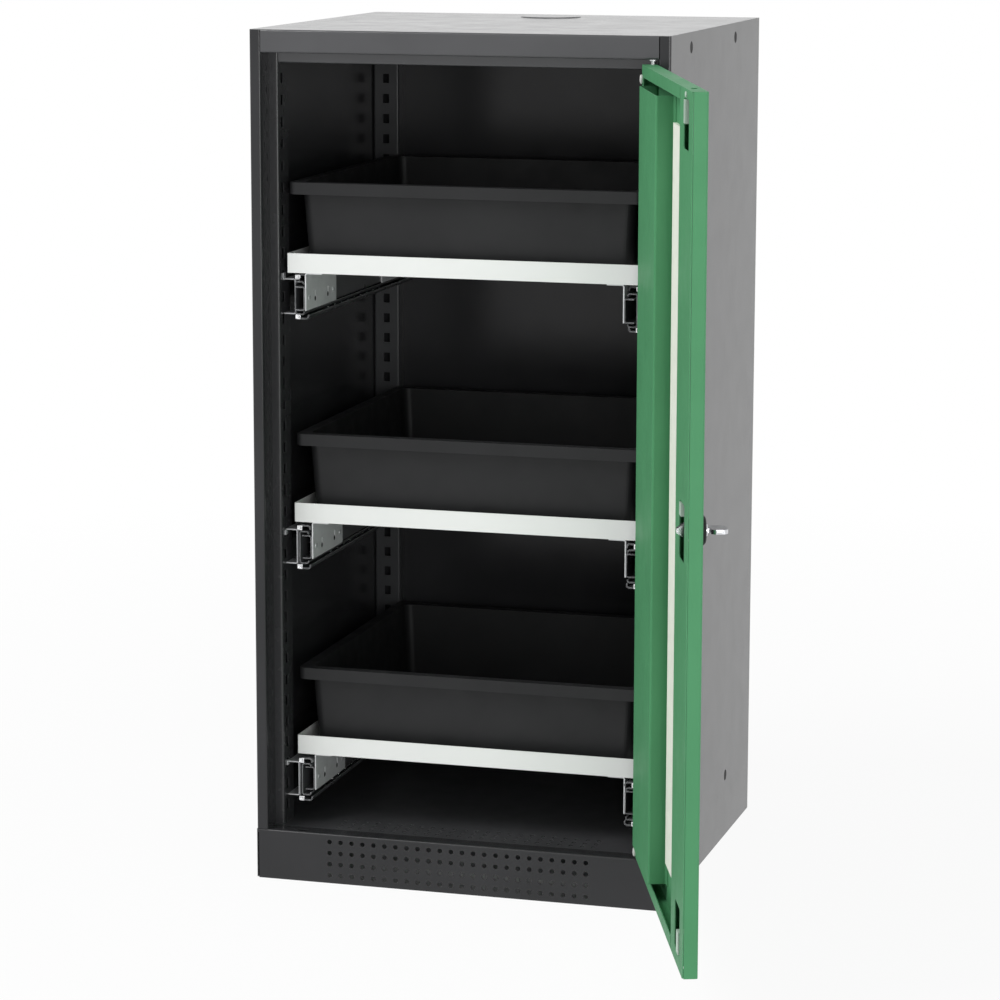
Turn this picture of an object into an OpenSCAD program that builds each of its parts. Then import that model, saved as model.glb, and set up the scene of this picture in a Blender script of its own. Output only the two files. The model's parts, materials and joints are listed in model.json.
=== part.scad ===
// Reagent drawer cabinet: a folded steel cabinet with three trays on ball runners behind one door.
// Origin: middle of the footprint, on the ground. +X right, +Y to the back, +Z up.
// The door is drawn open and the trays nearly home, as the cabinet is shown.

/* [Cabinet] */
// Width over the side panels
body_w = 545; // [480:5:620]
// Depth over front and back
body_d = 520; // [500:5:620]
// Height from the ground to the top
body_h = 1105; // [1080:5:1300]
// Thickness of the cabinet's sheet steel
sheet = 1.2; // [0.8:0.1:1.6]
// Outer radius of the folds that show
fold_r = 3; // [2.5:0.1:4]
// Width of an upright's front face
upright_w = 15; // [12:0.5:20]
// Depth of the recess that the door closes into
rebate_d = 32; // [28:1:40]
// Width of the slotted posts' face beside the upright
post_face = 12; // [10:0.5:14]
// Depth of the front posts behind the recess
post_d = 40; // [30:1:50]
// Width of the rear posts
rear_post_w = 37; // [30:1:42]
// Depth of the rear posts
rear_post_d = 18; // [14:1:30]
// Height of the rail over the door
rail_h = 29; // [24:1:40]
// How far the lintel behind the rail hangs below it
lintel_drop = 14; // [10:1:18]
// Height of the plinth
plinth_h = 66; // [60:1:100]

/* [Ventilation] */
// Diameter of the plinth's and the floor's vent holes
vent_d = 6; // [4:0.5:8]
// Spacing of the vent holes
vent_pitch = 15; // [12:0.5:18]
// Vent holes in a row
vent_columns = 24; // [10:1:26]
// Rows of vent holes in the plinth
plinth_rows = 4; // [2:1:4]
// Rows of vent holes in the floor
floor_rows = 3; // [1:1:4]
// Diameter of the exhaust opening in the top
exhaust_d = 72; // [60:1:100]
// Distance of the exhaust opening's middle from the back
exhaust_from_back = 75; // [65:1:120]
// Diameter of the plugged holes in the side panels
plug_d = 15; // [8:0.5:16]
// Front plugged holes, from the cabinet's front
plug_from_front = 111; // [80:1:150]
// Rear plugged holes, from the cabinet's back
plug_from_back = 152; // [120:1:180]
// Upper plugged holes, from the top
plug_from_top = 19; // [14:1:40]
// Lower plugged holes, above the plinth
plug_from_plinth = 20; // [14:1:40]

/* [Slotted posts] */
// Spacing of the slots
slot_pitch = 28; // [20:1:40]
// Height of a slot
slot_h = 13; // [10:0.5:16]
// Width of a slot
slot_w = 9; // [6:0.5:12]

/* [Door] */
// Thickness of the door over its folded edges
door_t = 18; // [16:0.5:22]
// Gap between the door and each upright
door_gap = 4; // [3:0.5:6]
// Gap between the door and the plinth
door_gap_bottom = 4; // [3:0.5:8]
// Gap between the door and the rail over it
door_gap_top = 6; // [4:0.5:8]
// Width of the folded lips inside the door
door_lip = 15; // [10:1:20]
// Angle at which the door is drawn open
door_angle = 110; // [0:1:110]
// Hinge pin, from the door's edge
pin_from_edge = 4.5; // [4:0.1:5.5]
// Hinge pin, from the door's face
pin_from_face = 5; // [4.5:0.1:6]
// Diameter of the hinge pins
pin_d = 4.5; // [3.5:0.1:4.6]
// Outer diameter of the hinge bushes
bush_d = 6.2; // [5.6:0.1:6.3]
// Width of the lock profile along the door's free edge
lock_profile_w = 116; // [90:1:130]
// Width of the box stiffener beside the hinge
stiffener_w = 176; // [100:1:190]
// How far the box stiffener stops short of the door's ends
stiffener_short = 24; // [20:1:60]
// How far the box stiffener stands off the door skin
stiffener_d = 23.5; // [20:0.5:23.5]

/* [Lock] */
// Height of the lock's spindle above the ground
lock_z = 578; // [400:1:700]
// Distance of the spindle from the door's free edge
lock_from_edge = 50; // [44:1:60]
// Diameter of the round rosette
rosette_d = 34; // [26:1:40]
// How far the rosette stands off the door
rosette_t = 8; // [4:0.5:9]
// Length of the turn handle's wing
wing_w = 30; // [24:1:44]
// How far the wing stands out from the door
wing_out = 33; // [31:1:40]
// Distance of the cam's driving pins from the spindle
cam_r = 11; // [9:0.5:12]
// Width of a locking rod
rod_w = 10; // [8:0.5:10]
// Thickness of a locking rod
rod_t = 3; // [2:0.5:4]

/* [Trays] */
// Underside of the top tray's pan above the ground
top_level = 796; // [700:1:880]
// Underside of the middle tray's pan
middle_level = 469; // [380:1:560]
// Underside of the bottom tray's pan
bottom_level = 158; // [140:1:240]
// Gap between a pan and the slotted posts beside it
tray_side_gap = 12.5; // [12:0.5:30]
// Gap between a closed pan and the rear posts
tray_rear_gap = 9.6; // [8:0.1:60]
// Front of a closed pan, from the cabinet's front
tray_front = 50; // [45:1:60]
// Height of a pan's white front and sides
pan_h = 25; // [20:1:35]
// Height of the tray's rim above the pan
rim_top_h = 90; // [60:1:120]
// Depth of the tray's turned-down rim
rim_h = 15; // [10:1:20]
// Width of the tray's rim
rim_w = 12; // [9:0.5:16]
// How far each tray wall leans in from rim to floor
wall_lean = 7; // [3:0.5:10]
// Thickness of the moulded tray's walls
tray_wall = 3; // [2:0.5:4]
// How far the top tray is drawn pulled out
top_out = 25; // [0:1:25]
// How far the middle tray is drawn pulled out
middle_out = 5; // [0:1:25]

/* [Runners] */
// Gap between a closed runner and the rear posts
runner_rear_gap = 4.6; // [4:0.1:60]
// Height of the outer runner member
runner_h = 58; // [54:1:62]
// Width of a closed runner
runner_w = 19; // [18.5:0.5:22]
// Thickness of the outer runner member
outer_t = 1.8; // [1.4:0.1:2]
// Thickness of the sliding runner members
inner_t = 1.5; // [1.2:0.1:1.8]
// Diameter of the outer rows' balls
outer_ball_d = 5; // [4.6:0.1:5.4]
// Diameter of the inner rows' balls
inner_ball_d = 4; // [3.6:0.1:4.2]
// Balls in a row
row_balls = 9; // [4:1:9]
// Spacing of the balls
ball_pitch = 27; // [20:1:28]

/* [Hidden] */
$fn = 48;

// Clearances
run_gap = 0.3;    // between parts that slide on each other
pin_gap = 0.06;   // round a pin in its hole
face_gap = 0.3;   // between curved parts that lie side by side
cut = 1;          // how far a cutter runs past a surface

// Cabinet places
half_w = body_w / 2;
wall_x = half_w - upright_w;            // recess wall beside the door
post_x = wall_x - post_face;            // slotted face of the front posts
fold_c = fold_r - sheet / 2;            // centreline radius of a fold
ground_gap = 1;                         // the panels' lower edges clear the ground
back_face = body_d - 2 * sheet;         // front of the back panel, from the front
post_top = body_h - 2 * sheet - fold_r; // tops of the posts, clear of the back panel's fold
rear_post_y = back_face - rear_post_d;
rail_z = body_h - rail_h;
fold_back = 24;                         // how far the plinth's top fold runs back
lintel_z = rail_z - lintel_drop;

// Slots in the posts
slot_first = plinth_h + 24;             // middle of the lowest slot
slot_last = lintel_z - 20;              // no slot's middle stands above this
slot_count = floor((slot_last - slot_first) / slot_pitch) + 1;
slot_y = rebate_d + 14;                 // middle of a slot in a front post, from the front
rear_slot_x = half_w - sheet - rear_post_w / 2;

// Door places; across the door, s runs from the hinge pin to the free edge and q from the face inwards
door_edge = wall_x - door_gap;
door_s0 = -pin_from_edge;
door_s1 = 2 * door_edge - pin_from_edge;
door_z0 = plinth_h + door_gap_bottom;
door_z1 = rail_z - door_gap_top;
pin_x = door_edge - pin_from_edge;
door_sheet = 1.2;
lock_s = door_s1 - lock_from_edge;
stiffener_s = 30;                       // near side of the box stiffener
stiffener_foot = 12;                    // width of each foot on the skin
stiffener_z0 = door_z0 + stiffener_short;
stiffener_z1 = door_z1 - stiffener_short;
board_short = 30;                       // the board stops this far short of the stiffener's ends
window_w = 46;                          // openings in the lock profile
window_s = lock_s - 26;                 // their edge on the hinge's side
window_h = 56;
window_low_z = door_z0 + 17;            // lower edge of the lower window
window_top_z = door_z1 - 11;            // upper edge of the upper window
window_mid_h = 66;
window_mid_z = lock_z - 2;              // middle of the window over the lock

// Lock places
rod_q = 9;                              // middle of the rods, from the door's face
rod_offset = cam_r * 0.85;              // each rod's middle, to one side of the spindle
rod_slack = 0.5;                        // between a driving pin and its slot in a rod
rod_pin_d = 4;
spindle_d = 7;
nose_d = spindle_d + 7;                 // the lock case's nose in its hole in the skin
rod_retract = 4;                        // a rod's tip stays this far inside the door at rest
rod_hole = 2;                           // a rod's hole is this much larger all round
case_d = 3.5;                           // depth of the lock case on the skin

// Tray places
levels = [top_level, middle_level, bottom_level];
pulled = [top_out, middle_out, 0];
half_tray = post_x - tray_side_gap;
tray_w = 2 * half_tray;
tray_l = rear_post_y - tray_rear_gap - tray_front;
pan_sheet = 1.2;

// Runner places: heights from the runner's middle, widths from its back
runner_drop = 4;                        // runner's top below the pan
runner_back = half_tray - 4;            // back of the outer member
runner_front = 45;                      // front of a closed runner, from the cabinet's front
inner_setback = 6;                      // an inner member's front stays this far behind it
runner_l = rear_post_y - runner_rear_gap - runner_front;
outer_lip = 5;
mid_lip = 3.2;
outer_fold = 3.4;                       // centreline radii of the members' folds
mid_fold = 2.6;
inner_fold = 2.2;
hanger_pass = 0.8;                      // the outer member stays clear of the hangers
ball_room = outer_ball_d + 2 * run_gap;
mid_h = runner_h - 2 * outer_t - 2 * ball_room;
inner_room = inner_ball_d + 2 * run_gap;
inner_h = mid_h - 2 * inner_t - 2 * inner_room;
cage_t = 0.8;
web_gap = 0.35;                         // between a cage's web and the members beside it
outer_cage_x = outer_t + web_gap;
mid_x = outer_cage_x + cage_t + web_gap;
inner_cage_x = mid_x + inner_t + web_gap;
inner_open_x = inner_cage_x + cage_t + web_gap;
mid_open_x = runner_w - hanger_pass - outer_t;   // open side of the intermediate member
outer_strip_x = mid_open_x - 2.6;       // open edges of the cages' strips
inner_strip_x = runner_w - inner_t - 4;
cage_first = 100;                       // first ball, from the runner's front when closed
ball_hold = 0.4;                        // a strip's open edge past its balls
strip_past = 2.4;                       // a strip's ends past its end balls
bracket_t = 1.5;
bracket_h = 46;
bracket_fold = 2;
hook_w = slot_w - 2;
hook_reach = 6;                         // how far a hook's tongue runs through its slot
hook_rise = 3;                          // a hook's top stands this far above its slot's middle
hook_lip = 2.5;                         // thickness of a hook's turned-down end
hook_drop = 3;                          // how far that end hangs below the tongue
tongue_h = 6;
low_slot = 0.3;                         // a slot this share of a pitch too low still serves
hanger_t = 1.6;
hanger_l = 120;
hanger_foot = 22;
hanger_inset = 1;
hanger_fold = 2.2;
keyholes = [0.3, 0.72];                 // places of a hanger's keyholes, as shares of its length
keyhole_up = 12;                        // middle of a keyhole, above the hanger's lower edge
keyhole_d = 7;
keyhole_neck = 4;
keyhole_h = 10;

steel_grey = [0.24, 0.24, 0.26];
zinc = [0.72, 0.73, 0.74];
ball_steel = [0.85, 0.86, 0.88];
door_green = [0.32, 0.58, 0.40];
tray_black = [0.19, 0.19, 0.20];
rail_white = [0.95, 0.96, 0.95];

// ---------------------------------------------------------------- helpers

// Puts Y = 0 at the cabinet's front face
module from_front() translate([0, -body_d / 2, 0]) children();

// Draws children on the left and mirrored on the right
module both_sides() {
    children();
    mirror([1, 0, 0]) children();
}

function unit(v) = v / norm(v);

// One flat leg of a bent sheet
module sheet_leg(a, b, t)
    translate(a) rotate(atan2(b.y - a.y, b.x - a.x)) translate([0, -t / 2]) square([norm(b - a), t]);

// One square bend of a sheet, of centreline radius r
module sheet_bend(before, corner, after, t, r) {
    u = unit(corner - before);
    w = unit(after - corner);
    reach = r + t;
    translate(corner - u * r + w * r) intersection() {
        difference() {
            circle(r + t / 2);
            circle(r - t / 2);
        }
        polygon([[0, 0], -w * reach, (u - w) * reach, u * reach]);
    }
}

// A bent sheet seen along its folds: square legs along a centreline path, joined by round bends
module bent_sheet(path, t, r) {
    last = len(path) - 1;
    for (i = [0 : last - 1]) {
        u = unit(path[i + 1] - path[i]);
        from = path[i] + u * (i == 0 ? 0 : r);
        to = path[i + 1] - u * (i == last - 1 ? 0 : r);
        sheet_leg(from, to, t);
    }
    for (i = [1 : last - 1]) sheet_bend(path[i - 1], path[i], path[i + 1], t, r);
}

// Turns a profile drawn in depth (x) and height (y) into a length across the cabinet
module across(x0, x1) translate([x0, 0, 0]) rotate([90, 0, 90]) linear_extrude(x1 - x0) children();

// Turns a profile drawn in width (x) and height (y) into a length from front to back
module front_to_back(y0, y1) translate([0, y1, 0]) rotate([90, 0, 0]) linear_extrude(y1 - y0) children();

// ---------------------------------------------------------------- cabinet

// Left side panel: skin, rounded front face, recess wall and rear flange from one sheet
module side_panel() {
    t2 = sheet / 2;
    flange = 22;
    color(steel_grey) from_front() difference() {
        union() {
            translate([0, 0, plinth_h]) linear_extrude(body_h - plinth_h) bent_sheet([
                [-wall_x - t2, rebate_d], [-wall_x - t2, t2], [-half_w + t2, t2],
                [-half_w + t2, body_d - t2], [-half_w + flange, body_d - t2]], sheet, fold_c);
            translate([0, 0, ground_gap]) linear_extrude(plinth_h - ground_gap) bent_sheet([
                [-half_w + t2, 0], [-half_w + t2, body_d - t2],
                [-half_w + flange, body_d - t2]], sheet, fold_c);
        }
        recess_wall_slots();
        translate([-half_w + sheet + face_gap / 2, sheet + face_gap / 2, body_h - sheet])
            cube([upright_w, rebate_d, sheet + cut]);
        for (place = side_holes()) translate([-half_w - cut, place.x, place.y])
            rotate([0, 90, 0]) cylinder(d = plug_d, h = sheet + 2 * cut);
    }
}

// Depth and height of each plugged hole in a side panel
function side_holes() = [for (y = [plug_from_front, body_d - plug_from_back])
    for (z = [body_h - plug_from_top, plinth_h + plug_from_plinth]) [y, z]];

// Narrow slots in two staggered columns in the recess wall
module recess_wall_slots() {
    wide = 4;
    tall = 8;
    first_y = rebate_d / 2 - 3;
    column_gap = 9;
    for (i = [0 : slot_count - 1], column = [0, 1])
        translate([-wall_x - sheet - cut, first_y + column * column_gap - wide / 2,
            slot_first + (i + column / 2) * slot_pitch - tall / 2])
            cube([sheet + 2 * cut, wide, tall]);
}

module side_panel_left() side_panel();
module side_panel_right() mirror([1, 0, 0]) side_panel();

// Left front post: a slotted channel behind the door's recess, open to the side panel
module front_post() {
    t2 = sheet / 2;
    color(steel_grey * 1.15) from_front() difference() {
        translate([0, 0, plinth_h]) linear_extrude(post_top - plinth_h) bent_sheet([
            [-half_w + sheet, rebate_d + t2], [-post_x - t2, rebate_d + t2],
            [-post_x - t2, rebate_d + post_d - t2], [-half_w + sheet, rebate_d + post_d - t2]],
            sheet, fold_c);
        for (i = [0 : slot_count - 1])
            translate([-post_x - sheet - cut, slot_y - slot_w / 2, slot_first + i * slot_pitch - slot_h / 2])
                cube([sheet + 2 * cut, slot_w, slot_h]);
    }
}

module front_post_left() front_post();
module front_post_right() mirror([1, 0, 0]) front_post();

// Left rear post: a slotted channel against the back panel
module rear_post() {
    t2 = sheet / 2;
    x1 = half_w - sheet;
    x0 = x1 - rear_post_w;
    color(steel_grey * 1.15) from_front() difference() {
        translate([0, 0, plinth_h]) linear_extrude(post_top - plinth_h) bent_sheet([
            [-x1 + t2, body_d - fold_r], [-x1 + t2, rear_post_y + t2],
            [-x0 - t2, rear_post_y + t2], [-x0 - t2, back_face]], sheet, fold_c);
        for (i = [0 : slot_count - 1])
            translate([-rear_slot_x - slot_w / 2, rear_post_y - cut,
                slot_first + i * slot_pitch - slot_h / 2])
                cube([slot_w, sheet + 2 * cut, slot_h]);
    }
}

module rear_post_left() rear_post();
module rear_post_right() mirror([1, 0, 0]) rear_post();

// Back panel, with a folded flange along its top
module back_panel() {
    flange = 18;
    y = back_face + sheet / 2;
    z1 = body_h - sheet - sheet / 2;
    x1 = half_w - fold_r;
    color(steel_grey) from_front() across(-x1, x1)
        bent_sheet([[y - flange, z1], [y, z1], [y, ground_gap]], sheet, fold_c);
}

// Top panel: a flat top with its front rail folded down between the uprights
module top_panel() {
    t2 = sheet / 2;
    rail_return = 22;
    x1 = half_w - sheet - face_gap;
    color(steel_grey) from_front() difference() {
        union() {
            across(-wall_x, wall_x) bent_sheet([
                [rail_return, rail_z + t2], [t2, rail_z + t2], [t2, body_h - t2],
                [rebate_d, body_h - t2]], sheet, fold_c);
            translate([-x1, sheet + face_gap, body_h - sheet])
                cube([2 * x1, body_d - 2 * sheet - 2 * face_gap, sheet]);
        }
        translate([0, body_d - exhaust_from_back, body_h - sheet - cut])
            cylinder(d = exhaust_d, h = sheet + 2 * cut);
        keeper_hole(rail_z);
        pin_hole(rail_z);
    }
}

// Hole for a locking rod in a sheet whose underside is at z
module keeper_hole(z, side = 1) {
    s = lock_s - side * rod_offset;
    translate([pin_x - s - rod_w / 2 - rod_hole, rod_q - rod_t / 2 - rod_hole, z - cut])
        cube([rod_w + 2 * rod_hole, rod_t + 2 * rod_hole, sheet + 2 * cut]);
}

// Hole for a hinge pin's shank in a sheet whose underside is at z
module pin_hole(z) translate([pin_x, pin_from_face, z - cut])
    cylinder(d = pin_d + 2 * pin_gap, h = sheet + 2 * cut);

// Cover over the exhaust opening: a flat disc with a bevelled rim, whose collar drops into the hole
module exhaust_cover() {
    collar_r = exhaust_d / 2 - face_gap;
    brim = 5;
    deep = 6;
    color(steel_grey * 1.3) from_front()
        translate([0, body_d - exhaust_from_back, body_h - deep]) rotate_extrude()
            polygon([[0, deep], [collar_r - sheet, deep], [collar_r - sheet, 0], [collar_r, 0],
                [collar_r, deep], [collar_r + brim, deep], [collar_r + brim, deep + sheet / 2],
                [collar_r + brim - sheet, deep + sheet], [0, deep + sheet]]);
}

// Lintel: the strip behind the rail that the door closes against
module door_lintel() {
    t2 = sheet / 2;
    top = body_h - 2 * sheet;
    return_d = 24;
    color(steel_grey * 1.15) from_front() across(-post_x + face_gap, post_x - face_gap)
        bent_sheet([[rebate_d + return_d, lintel_z + t2], [rebate_d + t2, lintel_z + t2],
            [rebate_d + t2, top + t2], [rebate_d + return_d, top + t2]], sheet, fold_c);
}

// Floor, with a perforated strip behind the plinth
module floor_panel() {
    x1 = half_w - sheet;
    first = 38;
    color(steel_grey) from_front() difference() {
        translate([-x1, fold_back, plinth_h - sheet])
            cube([2 * x1, back_face - fold_back, sheet]);
        for (i = [0 : vent_columns - 1], j = [0 : floor_rows - 1])
            translate([vent_x(i), first + j * vent_pitch, plinth_h - sheet - cut])
                cylinder(d = vent_d, h = sheet + 2 * cut);
    }
}

function vent_x(i) = (i - (vent_columns - 1) / 2) * vent_pitch;

// Plinth: one sheet with a perforated front, wings folded back inside the side panels to carry
// the cabinet on the ground, and a top edge folded back under the door
module plinth_panel() {
    t2 = sheet / 2;
    rows_mid = plinth_h / 2;
    x1 = half_w - sheet;
    wing_end = back_face - face_gap;
    color(steel_grey) from_front() difference() {
        union() {
            linear_extrude(plinth_h - fold_r) bent_sheet([[-x1 + t2, wing_end], [-x1 + t2, t2],
                [x1 - t2, t2], [x1 - t2, wing_end]], sheet, fold_c);
            across(-x1, x1) bent_sheet([[t2, plinth_h - fold_r - sheet], [t2, plinth_h - t2],
                [fold_back, plinth_h - t2]], sheet, fold_c);
        }
        for (i = [0 : vent_columns - 1], j = [0 : plinth_rows - 1])
            translate([vent_x(i), -cut, rows_mid + (j - (plinth_rows - 1) / 2) * vent_pitch])
                rotate([-90, 0, 0]) cylinder(d = vent_d, h = sheet + 2 * cut);
        keeper_hole(plinth_h - sheet, -1);
        pin_hole(plinth_h - sheet);
    }
}

// Plastic plugs in the side panels' holes
module side_plugs() {
    head = 2;
    shank = 5;                          // length past the sheet
    sunk = 0.2;                         // a plug's face lies this far inside the panel's
    color([0.12, 0.12, 0.13]) from_front() both_sides()
        for (place = side_holes()) translate([-half_w, place.x, place.y]) rotate([0, 90, 0]) {
            translate([0, 0, sheet]) cylinder(d = plug_d + 2 * head, h = head);
            translate([0, 0, sunk]) cylinder(d = plug_d - 2 * pin_gap, h = sheet - sunk + shank);
        }
}

// Hinge pins with washers: one hangs from the rail's return, one stands on the plinth's fold
module hinge_pins() {
    shank_past = 2;                     // a shank's end stands this far past the sheet
    washer_d = 9;
    washer_h = 1.5;
    in_bush = 12;                       // length of a pin inside its bush
    reach = door_gap_top + in_bush;
    color(zinc) from_front() translate([pin_x, pin_from_face, 0]) {
        translate([0, 0, rail_z - reach]) cylinder(d = pin_d, h = reach + sheet + shank_past);
        translate([0, 0, rail_z - washer_h]) cylinder(d = washer_d, h = washer_h);
        translate([0, 0, plinth_h - sheet - shank_past])
            cylinder(d = pin_d, h = door_gap_bottom + in_bush + sheet + shank_past);
        translate([0, 0, plinth_h]) cylinder(d = washer_d, h = door_gap_bottom - run_gap);
    }
}

// ---------------------------------------------------------------- runners

// Height of a runner's middle at a level
function runner_z(i) = levels[i] - runner_drop - runner_h / 2;

// Slot that a bracket hooks into: the first one above its upper flange
function hook_z(i) = slot_first + slot_pitch
    * ceil((runner_z(i) + bracket_h / 2 - slot_first) / slot_pitch - low_slot);

// Puts a runner profile on both sides: x runs from the runner's back to the tray, y is height
module runner_profile(i, y0, y1) from_front() both_sides()
    translate([-runner_back, 0, runner_z(i)]) front_to_back(y0, y1) children();

// C section in a runner: web at x0, arms to x1, and optional lips of length lip
module c_section(x0, x1, h, t, r, lip) {
    y = h / 2 - t / 2;
    web = x0 + t / 2;
    edge = x1 - t / 2;
    bent_sheet([[edge, y - lip], [edge, y], [web, y], [web, -y], [edge, -y], [edge, lip - y]], t, r);
}

// Brackets: channels between the posts that carry the outer runner members
module runner_brackets(i) {
    t2 = bracket_t / 2;
    x0 = -post_x + face_gap;
    x1 = -runner_back;
    z = runner_z(i);
    y1 = rear_post_y - face_gap;
    rear_reach = -rear_slot_x;
    color(zinc) from_front() both_sides() {
        translate([0, 0, z]) front_to_back(runner_front + 1, y1) bent_sheet([
            [x0, bracket_h / 2 - t2], [x1 - t2, bracket_h / 2 - t2],
            [x1 - t2, t2 - bracket_h / 2], [x0, t2 - bracket_h / 2]], bracket_t, bracket_fold);
        front_hook(i);
        rear_hook(i, rear_reach, y1);
    }
}

// Tab on a bracket's upper flange that hooks into the front post
module front_hook(i) {
    x0 = -post_x + face_gap;
    base = runner_z(i) + bracket_h / 2 - bracket_t;
    top = hook_z(i) + hook_rise;
    translate([x0, slot_y - hook_w / 2, 0]) {
        translate([0, 0, base]) cube([bracket_t, hook_w, top - base]);
        translate([-hook_reach, 0, top - tongue_h]) cube([hook_reach + bracket_t, hook_w, tongue_h]);
        translate([-hook_reach, 0, top - tongue_h - hook_drop]) cube([hook_lip, hook_w, tongue_h]);
    }
}

// Tab at a bracket's rear end that hooks into the rear post
module rear_hook(i, x, y1) {
    base = runner_z(i) + bracket_h / 2 - bracket_t;
    top = hook_z(i) + hook_rise;
    translate([x - hook_w / 2, y1 - bracket_t, 0]) {
        translate([0, 0, base]) cube([-runner_back - x + hook_w / 2 - bracket_t, bracket_t, bracket_t]);
        translate([0, 0, base]) cube([hook_w, bracket_t, top - base]);
        translate([0, 0, top - tongue_h]) cube([hook_w, bracket_t + hook_reach, tongue_h]);
        translate([0, bracket_t + hook_reach - hook_lip, top - tongue_h - hook_drop])
            cube([hook_w, hook_lip, tongue_h]);
    }
}

// Outer members: lipped channels fixed to the brackets
module outer_members(i) color(zinc)
    runner_profile(i, runner_front, runner_front + runner_l)
        c_section(0, runner_w - hanger_pass, runner_h, outer_t, outer_fold, outer_lip);

// Front of a part that has moved by a share of the tray's travel
function moved(i, share) = runner_front - pulled[i] * share;

// Intermediate members
module intermediate_members(i) color(zinc)
    runner_profile(i, moved(i, 0.5), moved(i, 0.5) + runner_l)
        c_section(mid_x, mid_open_x, mid_h, inner_t, mid_fold, mid_lip);

// Inner members, open towards the runner's back, with their web beside the tray's hangers
module inner_members(i) color(zinc)
    runner_profile(i, moved(i, 1) + inner_setback, moved(i, 1) + runner_l) {
        y = inner_h / 2 - inner_t / 2;
        web = runner_w - inner_t / 2;
        bent_sheet([[inner_open_x, y], [web, y], [web, -y], [inner_open_x, -y]], inner_t, inner_fold);
    }

// Cage with its two rows of balls: a web joins an upper and a lower strip that snap round the balls
module ball_cage(i, share, web_x, strip_x, row_z, ball_d) {
    y0 = moved(i, share) + cage_first;
    strip_l = (row_balls - 1) * ball_pitch + ball_d + 2 * strip_past;
    ball_x = strip_x - ball_d / 2 - ball_hold;
    color(ball_steel) from_front() both_sides()
        translate([-runner_back, y0 - strip_l / 2 + (row_balls - 1) * ball_pitch / 2, runner_z(i)])
            union() {
                translate([web_x, 0, -row_z]) cube([cage_t, strip_l, 2 * row_z]);
                for (side = [-1, 1]) {
                    translate([web_x, 0, side * row_z - cage_t / 2])
                        cube([strip_x - web_x, strip_l, cage_t]);
                    for (k = [0 : row_balls - 1])
                        translate([ball_x, ball_d / 2 + strip_past + k * ball_pitch, side * row_z])
                            sphere(d = ball_d);
                }
            }
}

module outer_cages(i) ball_cage(i, 0.25, outer_cage_x, outer_strip_x,
    runner_h / 2 - outer_t - ball_room / 2, outer_ball_d);

module inner_cages(i) ball_cage(i, 0.75, inner_cage_x, inner_strip_x,
    mid_h / 2 - inner_t - inner_room / 2, inner_ball_d);

// Hangers: plates that join the inner members to the pan, front and rear
module runner_hangers(i) {
    t2 = hanger_t / 2;
    x = -runner_back + runner_w + t2;
    z1 = levels[i] - t2;
    z0 = runner_z(i) - inner_h / 2;
    front = tray_front - pulled[i] + pan_sheet + hanger_inset;
    rear = front + tray_l - hanger_l - 2 * hanger_inset - 2 * pan_sheet;
    color(zinc) from_front() both_sides() for (y = [front, rear]) difference() {
        front_to_back(y, y + hanger_l)
            bent_sheet([[x, z0], [x, z1], [x + hanger_foot, z1]], hanger_t, hanger_fold);
        for (k = keyholes) keyhole(x, y + k * hanger_l, z0 + keyhole_up);
    }
}

// Keyhole in a hanger: a round hole with a narrow neck above it
module keyhole(x, y, z) translate([x - hanger_t, y, z]) {
    rotate([0, 90, 0]) cylinder(d = keyhole_d, h = 2 * hanger_t);
    translate([0, -keyhole_neck / 2, 0]) cube([2 * hanger_t, keyhole_neck, keyhole_h]);
}

// ---------------------------------------------------------------- trays

// Pan: a folded white sheet that the tray stands in
module pan(i) {
    y0 = tray_front - pulled[i];
    z = levels[i];
    corner_r = 1.5;
    relief = 0.4;                       // slit between a pan's folded walls at each corner
    color(rail_white) from_front() difference() {
        translate([-half_tray, y0, z]) rounded_box(tray_w, tray_l, pan_h, corner_r);
        translate([-half_tray + pan_sheet, y0 + pan_sheet, z + pan_sheet])
            cube([tray_w - 2 * pan_sheet, tray_l - 2 * pan_sheet, pan_h]);
        for (x = [-half_tray, half_tray], y = [y0 + pan_sheet, y0 + tray_l - pan_sheet])
            translate([x - pan_sheet - cut, y - relief / 2, z + pan_sheet])
                cube([2 * (pan_sheet + cut), relief, pan_h]);
    }
}

// Upright box with round vertical edges
module rounded_box(w, l, h, r) linear_extrude(h) rounded_plate(w, l, r);

module rounded_plate(w, l, r) {
    translate([r, 0]) square([w - 2 * r, l]);
    translate([0, r]) square([w, l - 2 * r]);
    for (x = [r, w - r], y = [r, l - r]) translate([x, y]) circle(r);
}

// Block whose walls lean in by lean from its top to its floor
module leaning_block(w, l, h, lean, r) {
    slice = 0.01;
    hull() {
        translate([-w / 2, 0, h - slice]) linear_extrude(slice) rounded_plate(w, l, r, $fn = 32);
        translate([lean - w / 2, lean, 0]) linear_extrude(slice)
            rounded_plate(w - 2 * lean, l - 2 * lean, r, $fn = 32);
    }
}

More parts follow.
